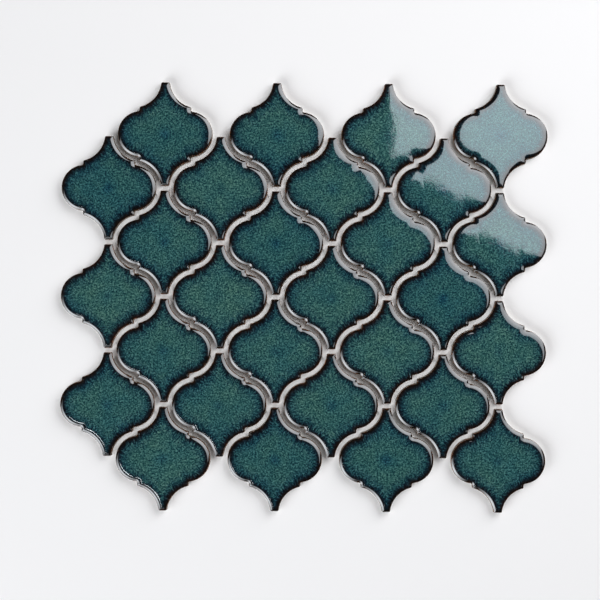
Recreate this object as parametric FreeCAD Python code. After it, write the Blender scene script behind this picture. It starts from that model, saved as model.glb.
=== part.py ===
import FreeCAD, Part
import math
import os

from FreeCAD import Vector

# A mosaic sheet of fired lantern tiles, laid glaze up. Millimetres.
# Origin: middle of the sheet, on the plane of the tile backs. +X runs along the rows, +Z is the glazed side.

# The sheet: rows of tiles, every other row shifted by half a pitch
ROWS = 7
TILES_PER_ROW = 4
PITCH_ACROSS = 64.6
PITCH_DOWN = 62.55
JOINT = 3.0

# One tile, measured at the edge of its glaze
LOBE_RADIUS = 13.05
TIP_WIDTH = 4.5
TILE_THICKNESS = 5.6

# The wall leans out to the back, and the glazed edge rolls off to the wall
WALL_DRAFT = 0.35
CUSHION_WIDTH = 1.6
CUSHION_DROP = 1.1

# The plastic dots that join the tiles at their tips, flush with the backs
DOT_RADIUS = 6.0
DOT_THICKNESS = 2.0

# Flat facets to a full round, within a tenth of a millimetre of it, so that many tiles stay light
TILE_FACETS = 36
DOT_FACETS = 18

half_across = PITCH_ACROSS / 2
half_down = PITCH_DOWN / 2
columns = 2 * TILES_PER_ROW

# The concave flank of a tile runs at one joint from the round lobe of the tile beside it,
# so both rounds share a centre, and the width of the flat tip fixes where that centre lies
flank_radius = LOBE_RADIUS + JOINT
flank_reach = math.sqrt(flank_radius**2 - (JOINT / 2) ** 2)
lobe_offset = half_across - TIP_WIDTH / 2 - flank_reach
tip_height = half_down - JOINT / 2
step_offset = (half_across - JOINT) / 2

# How far a tile's side stands inside the edge of its glaze, from the back up: the wall, then the rolled edge
shoulder = TILE_THICKNESS - CUSHION_DROP
side_section = [(-WALL_DRAFT, 0), (0, shoulder), (CUSHION_WIDTH, TILE_THICKNESS)]


def round_body(rims, facets, x, y):
    """A faceted round body on an upright axis, from the radius and height of each of its rims, from the bottom."""
    rings = []
    for radius, height in rims:
        turns = [2 * math.pi * k / facets for k in range(facets)]
        rings.append([Vector(x + radius * math.cos(t), y + radius * math.sin(t), height) for t in turns])
    faces = [Part.Face(Part.makePolygon(ring + ring[:1])) for ring in (rings[0], rings[-1])]
    for low, high in zip(rings, rings[1:]):
        for k in range(facets):
            corners = [low[k - 1], low[k], high[k], high[k - 1], low[k - 1]]
            faces.append(Part.Face(Part.makePolygon(corners)))
    return Part.Solid(Part.Shell(faces))


def bar(half_width, direction):
    """A long bar along a direction, whose two long sides follow the side section."""
    length = PITCH_ACROSS + PITCH_DOWN
    across = direction.cross(Vector(0, 0, 1))
    start = direction * (-length / 2)
    corners = []
    for side, section in ((1, side_section), (-1, side_section[::-1])):
        for inset, height in section:
            corners.append(start + across * side * (half_width - inset) + Vector(0, 0, height))
    return Part.Face(Part.makePolygon(corners + corners[:1])).extrude(direction * length)


def make_tile():
    """One fired tile: a block that ends in two flat tips, hollowed out along its four flanks, with two round lobes."""
    block = bar(step_offset, Vector(0, 1, 0)).common(bar(tip_height, Vector(1, 0, 0)))
    hollow_rims = [(flank_radius + inset, height) for inset, height in side_section]
    beside = half_across - lobe_offset
    hollows = [round_body(hollow_rims, TILE_FACETS, x, y) for x in (-beside, beside) for y in (-half_down, half_down)]
    lobe_rims = [(LOBE_RADIUS - inset, height) for inset, height in side_section]
    lobes = [round_body(lobe_rims, TILE_FACETS, x, 0) for x in (-lobe_offset, lobe_offset)]
    return block.cut(hollows).fuse(lobes).removeSplitter().Solids[0]


def place(row, column):
    """Where the lattice point of a row and a column lies; rows count from the top, columns from the left."""
    x = (column - (columns - 1) / 2) * half_across
    y = ((ROWS - 1) / 2 - row) * half_down
    return Vector(x, y, 0)


def holds_tile(row, column):
    """Whether a tile lies at a lattice point; at the points between, the tips of two tiles meet."""
    return 0 <= row < ROWS and 0 <= column < columns and (row + column) % 2 == 1


def moved(shape, offset):
    copy = shape.copy()
    copy.translate(offset)
    return copy


def make_dot(tile, row, column):
    """A dot between two tips, cut to the walls of the tiles round it, and no wider than the tips at the sheet's edge."""
    centre = place(row, column)
    dot = round_body([(DOT_RADIUS, 0), (DOT_RADIUS, DOT_THICKNESS)], DOT_FACETS, centre.x, centre.y)
    for side in (1, -1):
        if not holds_tile(row, column + side):
            spare = Part.makeBox(DOT_RADIUS, 2 * DOT_RADIUS, DOT_THICKNESS)
            left = side * (TIP_WIDTH + DOT_RADIUS) / 2 - DOT_RADIUS / 2
            dot = dot.cut(moved(spare, centre + Vector(left, -DOT_RADIUS, 0)))
    around = [(row - 1, column), (row + 1, column), (row, column - 1), (row, column + 1)]
    return dot.cut([moved(tile, place(*spot)) for spot in around if holds_tile(*spot)]).Solids[0]


def main():
    os.makedirs("parts", exist_ok=True)
    tile = make_tile()
    for row in range(ROWS):
        for column in range(columns):
            number = column // 2 + 1
            if holds_tile(row, column):
                tile_here = moved(tile, place(row, column))
                tile_here.exportStep("parts/tile_r%d_%d.step" % (row + 1, number))
            elif holds_tile(row - 1, column) and holds_tile(row + 1, column):
                make_dot(tile, row, column).exportStep("parts/joint_dot_r%d_%d.step" % (row + 1, number))


main()
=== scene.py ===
import math
import random

import bmesh
import bpy
from mathutils import Matrix, Vector
from mathutils.bvhtree import BVHTree


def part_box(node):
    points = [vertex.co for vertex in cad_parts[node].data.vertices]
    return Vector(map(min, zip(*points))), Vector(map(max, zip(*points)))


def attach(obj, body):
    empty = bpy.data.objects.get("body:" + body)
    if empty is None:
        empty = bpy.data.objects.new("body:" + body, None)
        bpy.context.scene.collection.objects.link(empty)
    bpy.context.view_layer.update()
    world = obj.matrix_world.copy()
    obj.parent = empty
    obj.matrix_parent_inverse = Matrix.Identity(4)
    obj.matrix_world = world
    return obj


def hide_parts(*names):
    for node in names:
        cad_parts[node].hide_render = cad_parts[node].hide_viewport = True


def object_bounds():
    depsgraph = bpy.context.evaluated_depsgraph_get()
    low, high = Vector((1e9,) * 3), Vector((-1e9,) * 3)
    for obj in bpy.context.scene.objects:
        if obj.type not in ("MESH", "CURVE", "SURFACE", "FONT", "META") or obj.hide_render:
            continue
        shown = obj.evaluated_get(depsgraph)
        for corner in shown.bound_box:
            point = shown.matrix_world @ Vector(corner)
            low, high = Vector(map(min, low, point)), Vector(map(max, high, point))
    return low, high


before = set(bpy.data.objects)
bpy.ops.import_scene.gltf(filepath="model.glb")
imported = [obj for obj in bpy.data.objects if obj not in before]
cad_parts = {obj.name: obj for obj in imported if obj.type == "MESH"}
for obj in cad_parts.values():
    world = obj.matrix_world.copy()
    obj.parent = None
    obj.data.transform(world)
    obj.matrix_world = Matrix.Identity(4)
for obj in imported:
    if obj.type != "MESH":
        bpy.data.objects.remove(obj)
cadLow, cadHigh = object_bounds()
mm = 0.001


# screen colour 0 to 255, turned into the linear values that shaders take
def srgb(red, green, blue):
    shares = [c / 255 for c in (red, green, blue)]
    return [s / 12.92 if s <= 0.04045 else ((s + 0.055) / 1.055) ** 2.4 for s in shares] + [1]


# Camera: straight down over the sheet

cameraSettings = {
    "aimX": -2.10 * mm,
    "aimY": -1.55 * mm,
    "height": 1.0,  # metres above the glaze
    "viewWidth": 346.2 * mm,  # at the glaze
    "turn": 0.4,  # degrees
}


def makeCamera(s, glazeHeight):
    lens = bpy.data.cameras.new("sheetCamera")
    lens.lens = lens.sensor_width * s["height"] / s["viewWidth"]
    camera = bpy.data.objects.new("sheetCamera", lens)
    camera.location = (s["aimX"], s["aimY"], glazeHeight + s["height"])
    camera.rotation_euler = (0, 0, math.radians(s["turn"]))
    bpy.context.scene.collection.objects.link(camera)
    bpy.context.scene.camera = camera
    print("camera", [round(c, 4) for c in camera.location], "lens", round(lens.lens, 1))


makeCamera(cameraSettings, cadHigh.z)


# Shader helpers

noiseMiddle = 0.5  # the level that a noise swings round


def newMaterial(name):
    material = bpy.data.materials.new(name)
    material.use_nodes = True
    nodes = material.node_tree.nodes
    return material, nodes, material.node_tree.links, nodes["Principled BSDF"]


def addNode(nodes, kind, **settings):
    node = nodes.new("ShaderNode" + kind)
    for name, value in settings.items():
        setattr(node, name, value)
    return node


# each side is a number or a socket
def addMath(nodes, links, operation, first, second):
    node = addNode(nodes, "Math", operation=operation)
    for socket, value in zip(node.inputs, (first, second)):
        if isinstance(value, (int, float)):
            socket.default_value = value
        else:
            links.new(value, socket)
    return node.outputs[0]


# noise is (scale, detail, roughness)
def addNoise(nodes, links, coordinates, noise):
    node = addNode(nodes, "TexNoise", noise_dimensions="3D")
    for name, value in zip(("Scale", "Detail", "Roughness"), noise):
        node.inputs[name].default_value = value
    links.new(coordinates, node.inputs["Vector"])
    return node.outputs["Fac"]


# stops are (position, colour), and values past the first or last stop keep its colour
def addRamp(nodes, links, value, stops):
    low, high = stops[0][0], stops[-1][0]
    spread = addNode(nodes, "MapRange")
    spread.inputs["From Min"].default_value = low
    spread.inputs["From Max"].default_value = high
    links.new(value, spread.inputs["Value"])
    node = addNode(nodes, "ValToRGB")
    elements = node.color_ramp.elements
    while len(elements) < len(stops):
        elements.new(0.5)  # anywhere, because the next lines move it
    for element, (position, colour) in zip(elements, stops):
        element.position = (position - low) / (high - low)
        element.color = colour if len(colour) == 4 else (*colour, 1)
    links.new(spread.outputs["Result"], node.inputs["Fac"])
    return node.outputs["Color"]


# factor and colours are numbers or sockets
def addMix(nodes, links, blend, factor, first, second):
    node = addNode(nodes, "Mix", data_type="RGBA", blend_type=blend)
    for socket, value in ((node.inputs[0], factor), (node.inputs[6], first), (node.inputs[7], second)):
        if isinstance(value, (int, float, list, tuple)):
            socket.default_value = value
        else:
            links.new(value, socket)
    return node.outputs[2]


# Glaze: teal with fine flecks, near black at the rim and brown on the walls, over pale clay

glazeSettings = {
    "depthStops": [  # mm inside the rim, colour; below 0 is the wall
        (-3.4, srgb(86, 76, 54)),
        (-1.5, srgb(72, 61, 36)),
        (-0.3, srgb(68, 54, 26)),
        (0.05, srgb(62, 47, 18)),
        (0.2, srgb(32, 20, 11)),
        (0.5, srgb(13, 9, 5)),
        (1.1, srgb(9, 8, 8)),
        (1.6, srgb(10, 14, 18)),
        (2.1, srgb(9, 21, 29)),
        (2.7, srgb(11, 34, 44)),
        (3.3, srgb(14, 46, 55)),
        (3.9, srgb(18, 56, 63)),
        (4.6, srgb(23, 65, 71)),
        (5.4, srgb(27, 70, 75)),
        (6.6, srgb(31, 74, 77)),
        (9.0, srgb(35, 81, 81)),
    ],
    "fleckNoise": (1050.0, 3.0, 0.75),
    "fleckStops": [  # multipliers from a dark fleck to a light one
        (0.37, (0.03, 0.24, 0.40)),
        (0.50, (0.94, 0.94, 0.94)),
        (0.63, (4.4, 2.55, 2.4)),
    ],
    "needleNoise": (0.22, 2.0, 0.65),
    "needleStops": [  # the same for the needles near the rim
        (0.36, (0.22, 0.38, 0.56)),
        (0.50, (1.0, 1.0, 1.0)),
        (0.64, (2.1, 1.6, 1.4)),
    ],
    "needleReach": 7.0,  # mm of depth by which a full swing of the needles shifts the colours
    "needleZone": [  # mm inside the rim, strength of the needles
        (0.4, (0, 0, 0)),
        (1.5, (1, 1, 1)),
        (4.5, (0.8, 0.8, 0.8)),
        (10.0, (0, 0, 0)),
    ],
    "spotStops": [  # mm from the tile's middle, multiplier
        (0.0, (0.2, 0.45, 0.78)),
        (1.8, (0.45, 0.68, 0.9)),
        (3.8, (0.78, 0.9, 0.97)),
        (6.5, (1, 1, 1)),
    ],
    "spotShares": [(0.0, (1, 1, 1)), (1.0, (0.4, 0.4, 0.4))],  # weaker on the lighter tiles
    "cloudNoise": (60.0, 3.0, 0.6),
    "cloudStops": [(0.33, (0.80, 0.90, 0.98)), (0.67, (1.28, 1.1, 1.0))],
    "tintStops": [(0.0, (0.84, 0.92, 0.97)), (1.0, (1.3, 1.12, 1.05))],
    "clay": srgb(229, 227, 222),
    "clayRoughness": 0.8,
    "grainNoise": (1500.0, 3.0, 0.6),
    "grainStops": [(0.3, (0.9, 0.9, 0.9)), (0.7, (1.05, 1.05, 1.05))],
    "glazeLine": -3.0,  # mm, on the wall, where the bare clay starts
    "glazeLineWave": 0.5,  # mm between the line's high and low places
    "glossLine": -0.2,  # mm, and the thin glaze below this is dull
    "roughness": 0.05,
    "ior": 1.6,
    "coatRoughness": 0.02,
    "coatIor": 1.68,
    "shineStops": [(1.6, (0.84, 0.92, 1.0)), (4.5, (0.48, 0.85, 1.0))],  # mm inside the rim, tint
    "dimpleDepth": 0.003 * mm,
    "dimpleNoise": (1050.0, 2.0, 0.5),
    "waveNoise": (220.0, 1.0, 0.5),
    "waveShare": 3.0,  # times the dimples
}


# mm from the tile's middle, seen from above
def addMiddleDistance(nodes, links, place):
    tile = addNode(nodes, "Attribute", attribute_name="tileMiddle").outputs["Vector"]
    flat = addNode(nodes, "VectorMath", operation="MULTIPLY")
    flat.inputs[1].default_value = (1, 1, 0)
    links.new(place, flat.inputs[0])
    apart = addNode(nodes, "VectorMath", operation="DISTANCE")
    links.new(flat.outputs["Vector"], apart.inputs[0])
    links.new(tile, apart.inputs[1])
    return addMath(nodes, links, "DIVIDE", apart.outputs["Value"], mm)


def makeGlaze(s):
    material, nodes, links, shader = newMaterial("tealGlaze")
    place = addNode(nodes, "TexCoord").outputs["Object"]
    depth = addNode(nodes, "Attribute", attribute_name="rimDepth").outputs["Fac"]
    flow = addNode(nodes, "Attribute", attribute_name="glazeFlow").outputs["Vector"]
    tint = addNode(nodes, "Attribute", attribute_name="tileTint").outputs["Fac"]
    middle = addMiddleDistance(nodes, links, place)
    needles = addNoise(nodes, links, flow, s["needleNoise"])
    flecks = addNoise(nodes, links, place, s["fleckNoise"])
    clouds = addNoise(nodes, links, place, s["cloudNoise"])

    # dark needles reach in from the rim
    zone = addRamp(nodes, links, depth, s["needleZone"])
    swing = addMath(nodes, links, "SUBTRACT", needles, noiseMiddle)
    reach = addMath(nodes, links, "MULTIPLY", swing, s["needleReach"])
    wavy = addMath(nodes, links, "ADD", depth, addMath(nodes, links, "MULTIPLY", reach, zone))
    colour = addRamp(nodes, links, wavy, s["depthStops"])

    # needles, flecks all over, a darker, bluer spot at the middle, soft clouds, and each tile's own tint
    spotShare = addRamp(nodes, links, tint, s["spotShares"])
    for share, value, stops in (
        (zone, needles, "needleStops"),
        (1.0, flecks, "fleckStops"),
        (spotShare, middle, "spotStops"),
        (1.0, clouds, "cloudStops"),
        (1.0, tint, "tintStops"),
    ):
        colour = addMix(nodes, links, "MULTIPLY", share, colour, addRamp(nodes, links, value, s[stops]))

    # bare clay below the glaze line
    edge = addMath(nodes, links, "ADD", depth, addMath(nodes, links, "MULTIPLY", clouds, s["glazeLineWave"]))
    line = s["glazeLine"] + s["glazeLineWave"] * noiseMiddle
    glazed = addMath(nodes, links, "GREATER_THAN", edge, line)
    grains = addRamp(nodes, links, addNoise(nodes, links, place, s["grainNoise"]), s["grainStops"])
    clay = addMix(nodes, links, "MULTIPLY", 1.0, s["clay"], grains)
    links.new(addMix(nodes, links, "MIX", glazed, clay, colour), shader.inputs["Base Color"])

    # glossy on the face, dull on the wall
    glossy = addMath(nodes, links, "GREATER_THAN", depth, s["glossLine"])
    low, high = s["roughness"], s["clayRoughness"]
    rough = addMath(nodes, links, "ADD", addMath(nodes, links, "MULTIPLY", glossy, low - high), high)
    links.new(rough, shader.inputs["Roughness"])
    links.new(glossy, shader.inputs["Coat Weight"])
    shader.inputs["IOR"].default_value = s["ior"]
    shader.inputs["Coat Roughness"].default_value = s["coatRoughness"]
    shader.inputs["Coat IOR"].default_value = s["coatIor"]
    links.new(addRamp(nodes, links, depth, s["shineStops"]), shader.inputs["Specular Tint"])

    # faint dimples on slow waves
    dimples = addNode(nodes, "Bump")
    dimples.inputs["Strength"].default_value = 1.0
    dimples.inputs["Distance"].default_value = s["dimpleDepth"]
    slow = addMath(nodes, links, "MULTIPLY", addNoise(nodes, links, place, s["waveNoise"]), s["waveShare"])
    fine = addNoise(nodes, links, place, s["dimpleNoise"])
    links.new(addMath(nodes, links, "ADD", fine, slow), dimples.inputs["Height"])
    links.new(dimples.outputs["Normal"], shader.inputs["Normal"])
    links.new(dimples.outputs["Normal"], shader.inputs["Coat Normal"])
    print("glaze mixed")
    return material


# Tiles: finer than their solids, with rounded steps and a rolled glaze edge

tileSettings = {  # mm, and down to the thickness as in the part's source
    "lobeRadius": 13.05,
    "flankRadius": 16.05,
    "halfAcross": 32.3,
    "halfDown": 31.275,
    "tipWidth": 4.5,
    "joint": 3.0,
    "draft": 0.35,
    "thickness": 5.6,
    "foot": 0.3,  # upright, under the leaning wall
    "stepInner": 1.2,  # radii of the small rounds
    "stepOuter": 0.6,
    "tipCorner": 0.6,
    "edges": {  # how many edges each stretch of a quarter outline has
        "lobe": 24,
        "inner": 5,
        "side": 2,
        "outer": 5,
        "flank": 26,
        "corner": 4,
        "tip": 4,
    },
    "roll": [  # mm inside the rim, drop below the middle
        (0.0, 0.935),
        (0.12, 0.853),
        (0.3, 0.736),
        (0.5, 0.610),
        (0.75, 0.460),
        (1.0, 0.328),
        (1.25, 0.233),
        (1.4, 0.197),
        (1.55, 0.171),
        (1.7, 0.153),
        (1.85, 0.139),
        (2.05, 0.125),
        (2.3, 0.111),
        (2.7, 0.093),
        (3.6, 0.058),
        (4.6, 0.0335),
        (6.0, 0.014),
        (8.0, 0.0),
    ],
    "insetRings": [0.04, 0.12, 0.2, 0.3, 0.4, 0.5],  # mm inside the rim
    "innerRings": [  # mm further in, or this share of the way to the spine where that is less
        (0.25, 0.12),
        (0.5, 0.2),
        (0.75, 0.28),
        (0.9, 0.34),
        (1.05, 0.4),
        (1.2, 0.46),
        (1.35, 0.52),
        (1.55, 0.58),
        (1.8, 0.64),
        (2.2, 0.7),
        (3.1, 0.77),
        (4.1, 0.84),
        (5.5, 0.9),
        (7.5, 0.95),
        (99.0, 1.0),
    ],
    "spine": {  # the cross that the rings close in on
        "lobeFrom": 14.0,  # out from here, and below the step, the rim belongs to the lobe
        "lobeTrim": 0.6,  # of the lobe's radius, which leaves where the step starts
        "stepFrom": 13.6,  # out from here, the rest of the rim belongs to the step
        "stepAt": 14.2,
        "back": 3.0,  # from the lobe's centre, as far as the step and the flank reach
        "tip": 3.0,  # the depth of rim that belongs to the tip
        "end": 27.0,
    },
    "softFrom": 1.0,  # mm inside the rim, from where the glaze's ridges are smoothed
    "softShare": 0.6,  # of the depth past that
    "softReach": 2.4,
    "softCircles": [(0.5, 6), (1.0, 10)],  # share of the reach, places on the circle
    "needleStretch": 1.6,  # noise units for each mm of depth
    "needleShift": 3000,  # noise units for each metre between tiles, so that no two look the same
    "fenceHeight": 10.0,
    "startInset": 0.0005,
    "weld": 0.001,
    "spineWeld": 0.002,
    "sharpAngle": 40,  # degrees
    "tintSeed": 6614,
    "leans": {  # rise for each mm across and up, of glazes that aren't level
        "tile_r1_3": (0.0012, -0.0010),
        "tile_r3_4": (-0.0050, -0.0050),
    },
}


# height at which the wall meets the rolled glaze
def shoulderHeight(s):
    return s["thickness"] - s["roll"][0][1]


# how far the glaze lies below the tile's middle, at a distance inside the rim
def rollDrop(profile, distance):
    for (nearer, high), (farther, low) in zip(profile, profile[1:]):
        if distance <= farther:
            share = (distance - nearer) / (farther - nearer)
            return high + (low - high) * share
    return 0.0


# depth inside the rim, and the drop there
# the drop is averaged round the place, which leaves no ridge where the rolls of two sides meet
def softDrop(s, rim, place):
    depth = rim.find_nearest(place)[3]
    drops = [rollDrop(s["roll"], depth)]
    reach = min(s["softReach"], (depth - s["softFrom"]) * s["softShare"])
    if reach <= 0 or depth > s["roll"][-1][0] + reach:
        return depth, drops[0]
    for share, count in s["softCircles"]:
        radius = reach * share
        for k in range(count):
            turn = 2 * math.pi * k / count
            beside = place + Vector((radius * math.cos(turn), radius * math.sin(turn), 0))
            drops.append(rollDrop(s["roll"], rim.find_nearest(beside)[3]))
    return depth, sum(drops) / len(drops)


# an arc from the pen round a centre, as wide as from start to end; gives back its far end
def spinTo(bm, pen, centre, start, end, steps):
    a, b = start - centre, end - centre
    angle = math.atan2(a.x * b.y - a.y * b.x, a.x * b.x + a.y * b.y)
    middle = (centre.x, centre.y, 0)
    made = bmesh.ops.spin(bm, geom=[pen], cent=middle, axis=(0, 0, 1), angle=angle, steps=steps)
    return [g for g in made["geom_last"] if isinstance(g, bmesh.types.BMVert)][0]


def lineTo(bm, pen, x, y, steps):
    start = pen.co.copy()
    for k in range(steps):
        pen = bmesh.ops.extrude_vert_indiv(bm, verts=[pen])["verts"][0]
        pen.co = start.lerp(Vector((x, y, 0)), (k + 1) / steps)
    return pen


# the tile's outline as one face, grown by so many mm beyond the rim
def drawOutline(s, grow):
    lobeRadius, flankRadius = s["lobeRadius"] + grow, s["flankRadius"] - grow
    reach = math.sqrt(s["flankRadius"] ** 2 - (s["joint"] / 2) ** 2)
    lobe = Vector((s["halfAcross"] - s["tipWidth"] / 2 - reach, 0))
    flank = Vector((s["halfAcross"] - lobe.x, s["halfDown"]))
    stepX = (s["halfAcross"] - s["joint"]) / 2 + grow
    tipY = s["halfDown"] - s["joint"] / 2 + grow

    # centres of the small rounds
    inner, outer, corner = s["stepInner"] - grow, s["stepOuter"] + grow, s["tipCorner"] + grow
    innerX = stepX + inner
    innerMid = Vector((innerX, math.sqrt((lobeRadius + inner) ** 2 - (innerX - lobe.x) ** 2)))
    outerX = stepX - outer
    outerMid = Vector((outerX, flank.y - math.sqrt((flankRadius + outer) ** 2 - (flank.x - outerX) ** 2)))
    cornerY = tipY - corner
    cornerBack = math.sqrt((flankRadius + corner) ** 2 - (flank.y - cornerY) ** 2)
    cornerMid = Vector((flank.x - cornerBack, cornerY))

    # where one stretch of the quarter outline meets the next
    lobeStart = Vector((lobe.x + lobeRadius, 0))
    lobeEnd = lobe + (innerMid - lobe).normalized() * lobeRadius
    sideStart, sideEnd = Vector((stepX, innerMid.y)), Vector((stepX, outerMid.y))
    flankStart = flank + (outerMid - flank).normalized() * flankRadius
    flankEnd = flank + (cornerMid - flank).normalized() * flankRadius
    tipStart = Vector((cornerMid.x, tipY))

    bm = bmesh.new()
    edges = s["edges"]
    pen = bm.verts.new((lobeStart.x, lobeStart.y, 0))
    pen = spinTo(bm, pen, lobe, lobeStart, lobeEnd, edges["lobe"])
    pen = spinTo(bm, pen, innerMid, lobeEnd, sideStart, edges["inner"])
    pen = lineTo(bm, pen, stepX, outerMid.y, edges["side"])
    pen = spinTo(bm, pen, outerMid, sideEnd, flankStart, edges["outer"])
    pen = spinTo(bm, pen, flank, flankStart, flankEnd, edges["flank"])
    pen = spinTo(bm, pen, cornerMid, flankEnd, tipStart, edges["corner"])
    lineTo(bm, pen, 0, tipY, edges["tip"])
    for axis in "XY":
        drawn = bm.verts[:] + bm.edges[:]
        bmesh.ops.mirror(bm, geom=drawn, matrix=Matrix(), merge_dist=s["weld"], axis=axis)
    bmesh.ops.remove_doubles(bm, verts=bm.verts[:], dist=s["weld"])
    bmesh.ops.edgeloop_fill(bm, edges=bm.edges[:])
    bmesh.ops.recalc_face_normals(bm, faces=bm.faces[:])
    return bm, lobe, flank


# an upright wall along the rim, from which depths are measured
def makeFence(s):
    fence = drawOutline(s, 0)[0]
    fence.faces.ensure_lookup_table()
    lid = fence.faces[0]
    made = bmesh.ops.extrude_edge_only(fence, edges=fence.edges[:])["geom"]
    raised = [g for g in made if isinstance(g, bmesh.types.BMVert)]
    bmesh.ops.translate(fence, verts=raised, vec=(0, 0, s["fenceHeight"]))
    bmesh.ops.delete(fence, geom=[lid], context="FACES_ONLY")
    rim = BVHTree.FromBMesh(fence)
    fence.free()
    return rim


# where the rings of a tile's face run together, seen from a place on its rim
def spinePoint(s, lobe, flank, place):
    spine = s["spine"]
    x, y = abs(place.x), abs(place.y)
    stepLow = s["lobeRadius"] - spine["lobeTrim"]
    stepHigh = s["halfDown"] - math.sqrt(s["flankRadius"] ** 2 - (flank.x - spine["stepAt"]) ** 2)
    inward = (Vector((x, y)) - flank).normalized()
    side = Vector((math.copysign(1, place.x), math.copysign(1, place.y)))
    if x > spine["lobeFrom"] and y < stepLow:
        return Vector((lobe.x * side.x, 0))
    if x > spine["stepFrom"]:
        share = min(1.0, (y - stepLow) / (stepHigh - stepLow))
        return Vector(((lobe.x - spine["back"] * share) * side.x, 0))
    if y > s["halfDown"] - spine["tip"]:
        return Vector((0, spine["end"] * side.y))
    downX = x + inward.x * y / -inward.y if inward.y < 0 else -1
    if downX > 0:
        return Vector((min(downX, lobe.x - spine["back"]) * side.x, 0))
    return Vector((0, min(y + inward.y * x / -inward.x, spine["end"]) * side.y))


# the wall and the rings of the face; each point keeps the number of the rim point that it came from
def buildRings(s):
    bm, lobe, flank = drawOutline(s, s["draft"])
    bm.faces.ensure_lookup_table()
    spots = bm.verts.layers.int.new("spot")
    for number, vert in enumerate(bm.faces[0].verts):
        vert[spots] = number

    # the foot, the leaning wall, and the rings close to the rim
    made = bmesh.ops.extrude_face_region(bm, geom=bm.faces[:])["geom"]
    top = [g for g in made if isinstance(g, bmesh.types.BMFace)][0]
    bmesh.ops.translate(bm, verts=top.verts[:], vec=(0, 0, s["foot"]))
    bmesh.ops.inset_region(bm, faces=[top], thickness=s["draft"], use_even_offset=True)
    bmesh.ops.translate(bm, verts=top.verts[:], vec=(0, 0, shoulderHeight(s) - s["foot"]))
    before = 0.0
    for ring in s["insetRings"]:
        bmesh.ops.inset_region(bm, faces=[top], thickness=ring - before, use_even_offset=True)
        before = ring

    # the rings that close in on the spine
    starts = {v[spots]: v.co.copy() for v in top.verts}
    targets = {v[spots]: spinePoint(s, lobe, flank, v.co) for v in top.verts}
    for further, share in s["innerRings"]:
        bmesh.ops.inset_region(bm, faces=[top], thickness=s["startInset"], use_even_offset=True)
        for vert in top.verts:
            start = starts[vert[spots]]
            way = targets[vert[spots]].to_3d() - Vector((start.x, start.y, 0))
            vert.co = start + way.normalized() * min(further, way.length * share)
    bmesh.ops.delete(bm, geom=[top], context="FACES_ONLY")
    return bm, spots, len(starts)


# one tile round the origin, in mm; each point knows how deep inside the rim it lies
def makeTileShape(s):
    rim = makeFence(s)
    bm, spots, around = buildRings(s)
    shoulder = shoulderHeight(s)
    depth = bm.verts.layers.float.new("rimDepth")
    for vert in bm.verts:
        if vert.co.z > shoulder - s["weld"]:
            vert[depth], drop = softDrop(s, rim, Vector((vert.co.x, vert.co.y, s["fenceHeight"] / 2)))
            vert.co.z = s["thickness"] - drop
        else:
            vert[depth] = vert.co.z - shoulder

    # the needles' noise runs round in a ring and down over the rim, as the glaze flows
    flow = bm.verts.layers.float_vector.new("glazeFlow")
    for vert in bm.verts:
        turn = 2 * math.pi * vert[spots] / around
        down = vert[depth] * s["needleStretch"]
        vert[flow] = Vector((around * math.cos(turn), around * math.sin(turn), down))
    bmesh.ops.remove_doubles(bm, verts=bm.verts[:], dist=s["spineWeld"])
    bmesh.ops.recalc_face_normals(bm, faces=bm.faces[:])
    return bm


# tips the glazed face, never above its level height
def leanGlaze(bm, s, lean):
    shoulder = shoulderHeight(s)
    glazed = [v for v in bm.verts if v.co.z > shoulder - s["weld"]]
    rises = [v.co.x * lean[0] + v.co.y * lean[1] for v in glazed]
    top = max(rises)
    for vert, rise in zip(glazed, rises):
        vert.co.z += rise - top


# puts the shape in its place, in metres, and marks its middle and its own tint
def placeShape(bm, s, centre, height, ownTint):
    bmesh.ops.scale(bm, verts=bm.verts[:], vec=(mm, mm, mm))
    bmesh.ops.translate(bm, verts=bm.verts[:], vec=(centre.x, centre.y, height))
    middle = bm.verts.layers.float_vector.new("tileMiddle")
    flow = bm.verts.layers.float_vector["glazeFlow"]
    tint = bm.verts.layers.float.new("tileTint")
    for vert in bm.verts:
        vert[tint] = ownTint
        vert[middle] = centre
        vert[flow] += centre * s["needleShift"]


def makeTiles(s, material):
    shape = makeTileShape(s)
    print("tile shape", len(shape.verts), "points", len(shape.faces), "faces")
    tints = random.Random(s["tintSeed"])
    for name in [n for n in sorted(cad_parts) if n.startswith("tile_")]:
        low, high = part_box(name)
        bm = shape.copy()
        if name in s["leans"]:
            leanGlaze(bm, s, s["leans"][name])
        centre = Vector(((low.x + high.x) / 2, (low.y + high.y) / 2, 0))
        placeShape(bm, s, centre, low.z, tints.random())
        mesh = bpy.data.meshes.new("glazed_" + name)
        bm.to_mesh(mesh)
        bm.free()
        mesh.shade_smooth()
        mesh.set_sharp_from_angle(angle=math.radians(s["sharpAngle"]))
        mesh.materials.append(material)
        tile = bpy.data.objects.new("glazed_" + name, mesh)
        bpy.context.scene.collection.objects.link(tile)
        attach(tile, "root")
        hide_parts(name)
    shape.free()
    print("tiles placed")


makeTiles(tileSettings, makeGlaze(glazeSettings))


# Joint dots: plain white plastic on the solids of the part's source

plasticSettings = {
    "cloudNoise": (400.0, 2.0, 0.5),
    "cloudStops": [(0.3, srgb(238, 237, 237)), (0.7, srgb(245, 244, 244))],
    "roughness": 0.45,
}


def makePlastic(s):
    material, nodes, links, shader = newMaterial("whitePlastic")
    place = addNode(nodes, "TexCoord").outputs["Object"]
    clouds = addNoise(nodes, links, place, s["cloudNoise"])
    links.new(addRamp(nodes, links, clouds, s["cloudStops"]), shader.inputs["Base Color"])
    shader.inputs["Roughness"].default_value = s["roughness"]
    return material


def dressDots(material):
    for name in [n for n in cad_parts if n.startswith("joint_dot_")]:
        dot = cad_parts[name].data
        dot.materials.clear()
        dot.materials.append(material)
    print("joint dots dressed")


dressDots(makePlastic(plasticSettings))


# Floor: pale paper

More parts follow.
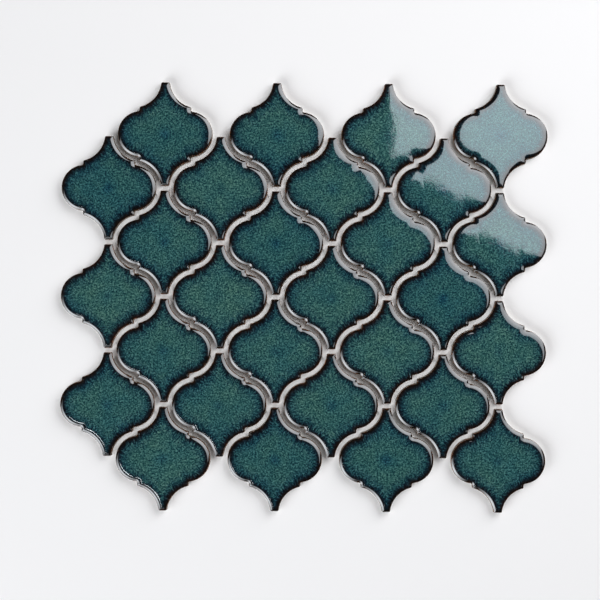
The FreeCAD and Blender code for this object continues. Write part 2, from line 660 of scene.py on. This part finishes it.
paperSettings = {
    "colour": srgb(241, 241, 242),
    "roughness": 0.9,
    "shine": 0.2,
    "halfWidth": 8.0,  # metres
}


def makeFloor(s):
    material, nodes, links, shader = newMaterial("palePaper")
    shader.inputs["Base Color"].default_value = s["colour"]
    shader.inputs["Roughness"].default_value = s["roughness"]
    shader.inputs["Specular IOR Level"].default_value = s["shine"]
    bm = bmesh.new()
    bmesh.ops.create_grid(bm, x_segments=1, y_segments=1, size=s["halfWidth"])
    mesh = bpy.data.meshes.new("paperFloor")
    bm.to_mesh(mesh)
    bm.free()
    mesh.materials.append(material)
    floor = bpy.data.objects.new("paperFloor", mesh)
    bpy.context.scene.collection.objects.link(floor)
    print("paper laid")


makeFloor(paperSettings)


# Studio: a large softbox up on the right, a lower one at the lower left, and a narrow strip high over it
# A lamp is full at its hot spot, falls to farShare of that at its reach along and across, and has
# edgeShare of its light left at its very edges. Lengths are in metres, and angles in degrees.

studioSettings = {
    "worldStrength": 0.025,
    "key": {
        "corner": (0.0513, 0.0828),  # where the camera sees the softbox's nearest corner in the glaze
        "height": 1.73,
        "side": 1.36,
        "azimuth": 26.7,
        "tilt": 59.8,
        "colour": (1.0, 0.995, 1.0),
        "radiance": 3.72,
        "hotDown": 1.2,  # from the nearest corner to the hot spot
        "hotAside": 0.2,
        "reach": (2.1, 0.95),
        "farShare": 0.5,
        "softEdge": 0.015,
        "edgeShare": 0.3,
    },
    "fill": {
        "azimuth": 222.0,
        "elevation": 34.0,
        "distance": 1.5,
        "size": (1.9, 1.25),
        "colour": (0.975, 0.985, 1.0),
        "radiance": 5.95,
        "hotSpot": (0, -0.05),
        "reach": (0.88, 0.85),
        "farShare": 0.25,
        "softEdge": 0.15,
        "edgeShare": 0.4,
    },
    "strip": {  # draws thin lines in the rolled edges
        "azimuth": 225.0,
        "elevation": 72.0,
        "distance": 1.83,
        "size": (0.26, 0.012),
        "colour": (1.0, 1.0, 1.0),
        "radiance": 36.0,
        "hotSpot": (0, 0),
        "reach": (0.13, 0.13),
        "farShare": 0.4,
        "softEdge": 0.002,
        "edgeShare": 0.5,
    },
}


# place on the lamp, from its middle
def addLampPlace(nodes, links, size):
    local = addNode(nodes, "VectorMath", operation="MULTIPLY_ADD")
    local.inputs[1].default_value = (size[0], size[1], 0)
    local.inputs[2].default_value = (-size[0] / 2, -size[1] / 2, 0)
    links.new(addNode(nodes, "NewGeometry").outputs["Parametric"], local.inputs[0])
    return local.outputs["Vector"]


def addGlow(nodes, links, place, hotSpot, hotTurn, s):
    spot = addNode(nodes, "Mapping", vector_type="TEXTURE")
    spot.inputs["Location"].default_value = (hotSpot[0], hotSpot[1], 0)
    spot.inputs["Rotation"].default_value = (0, 0, hotTurn)
    spot.inputs["Scale"].default_value = (s["reach"][0], s["reach"][1], 1)
    links.new(place, spot.inputs["Vector"])
    away = addNode(nodes, "VectorMath", operation="LENGTH")
    links.new(spot.outputs["Vector"], away.inputs[0])
    glow = addNode(nodes, "MapRange", interpolation_type="SMOOTHSTEP")
    glow.inputs["To Min"].default_value = 1.0
    glow.inputs["To Max"].default_value = s["farShare"]
    links.new(away.outputs["Value"], glow.inputs["Value"])
    return glow.outputs["Result"]


def addSoftEdge(nodes, links, place, size, s):
    beside = addNode(nodes, "VectorMath", operation="ABSOLUTE")
    links.new(place, beside.inputs[0])
    sides = addNode(nodes, "SeparateXYZ")
    links.new(beside.outputs["Vector"], sides.inputs["Vector"])
    toSide = addMath(nodes, links, "SUBTRACT", size[0] / 2, sides.outputs["X"])
    toEnd = addMath(nodes, links, "SUBTRACT", size[1] / 2, sides.outputs["Y"])
    edge = addNode(nodes, "MapRange", interpolation_type="SMOOTHSTEP")
    edge.inputs["From Max"].default_value = s["softEdge"]
    edge.inputs["To Min"].default_value = s["edgeShare"]
    links.new(addMath(nodes, links, "MINIMUM", toSide, toEnd), edge.inputs["Value"])
    return edge.outputs["Result"]


def addSoftbox(name, matrix, size, hotSpot, hotTurn, s):
    lamp = bpy.data.lights.new(name, "AREA")
    lamp.shape = "RECTANGLE"
    lamp.size, lamp.size_y = size
    lamp.energy = s["radiance"] * math.pi * size[0] * size[1]
    lamp.color = s["colour"]
    lamp.use_nodes = True
    nodes, links = lamp.node_tree.nodes, lamp.node_tree.links
    place = addLampPlace(nodes, links, size)
    glow = addGlow(nodes, links, place, hotSpot, hotTurn, s)
    edge = addSoftEdge(nodes, links, place, size, s)
    links.new(addMath(nodes, links, "MULTIPLY", glow, edge), nodes["Emission"].inputs["Strength"])
    light = bpy.data.objects.new(name, lamp)
    light.matrix_world = matrix
    bpy.context.scene.collection.objects.link(light)
    print(name, [round(c, 3) for c in matrix.translation])


# a light's matrix from its centre, its own X direction and the way it shines
def frameMatrix(centre, xAxis, facing):
    back = -facing.normalized()
    xAxis = xAxis.normalized()
    turn = Matrix((xAxis, back.cross(xAxis), back)).transposed().to_4x4()
    return Matrix.Translation(centre) @ turn


# the key is placed by its nearest corner, from where its diagonal runs down and away
def addKey(s, camera):
    aim = Vector((camera["aimX"], camera["aimY"], 0))
    spread = 1 + s["height"] / camera["height"]
    corner = aim + Vector((s["corner"][0] * spread, s["corner"][1] * spread, s["height"]))
    turn, tilt = math.radians(s["azimuth"]), math.radians(s["tilt"])
    down = Vector((math.cos(tilt) * math.cos(turn), math.cos(tilt) * math.sin(turn), -math.sin(tilt)))
    across = Vector((-math.sin(turn), math.cos(turn), 0))
    facing = across.cross(down)
    facing = facing if facing.z < 0 else -facing
    matrix = frameMatrix(corner + down * s["side"] / math.sqrt(2), down + across, facing)
    toLocal = matrix.inverted()
    hotSpot = toLocal @ (corner + down * s["hotDown"] + across * s["hotAside"])
    lengthways = toLocal.to_3x3() @ down
    hotTurn = math.atan2(lengthways.y, lengthways.x)
    addSoftbox("keySoftbox", matrix, (s["side"], s["side"]), hotSpot, hotTurn, s)


# the other lamps face the middle of the sheet
def addFacingLamp(name, s):
    turn, rise = math.radians(s["azimuth"]), math.radians(s["elevation"])
    away = Vector((math.cos(rise) * math.cos(turn), math.cos(rise) * math.sin(turn), math.sin(rise)))
    across = Vector((-math.sin(turn), math.cos(turn), 0))
    addSoftbox(name, frameMatrix(away * s["distance"], across, -away), s["size"], s["hotSpot"], 0, s)


def makeStudio(s, camera):
    addKey(s["key"], camera)
    addFacingLamp("fillSoftbox", s["fill"])
    addFacingLamp("stripSoftbox", s["strip"])
    world = bpy.data.worlds.new("studio")
    world.use_nodes = True
    background = world.node_tree.nodes["Background"]
    background.inputs["Color"].default_value = (1, 1, 1, 1)
    background.inputs["Strength"].default_value = s["worldStrength"]
    bpy.context.scene.world = world
    bpy.context.scene.view_settings.view_transform = "Standard"
    print("studio lit")


makeStudio(studioSettings, cameraSettings)
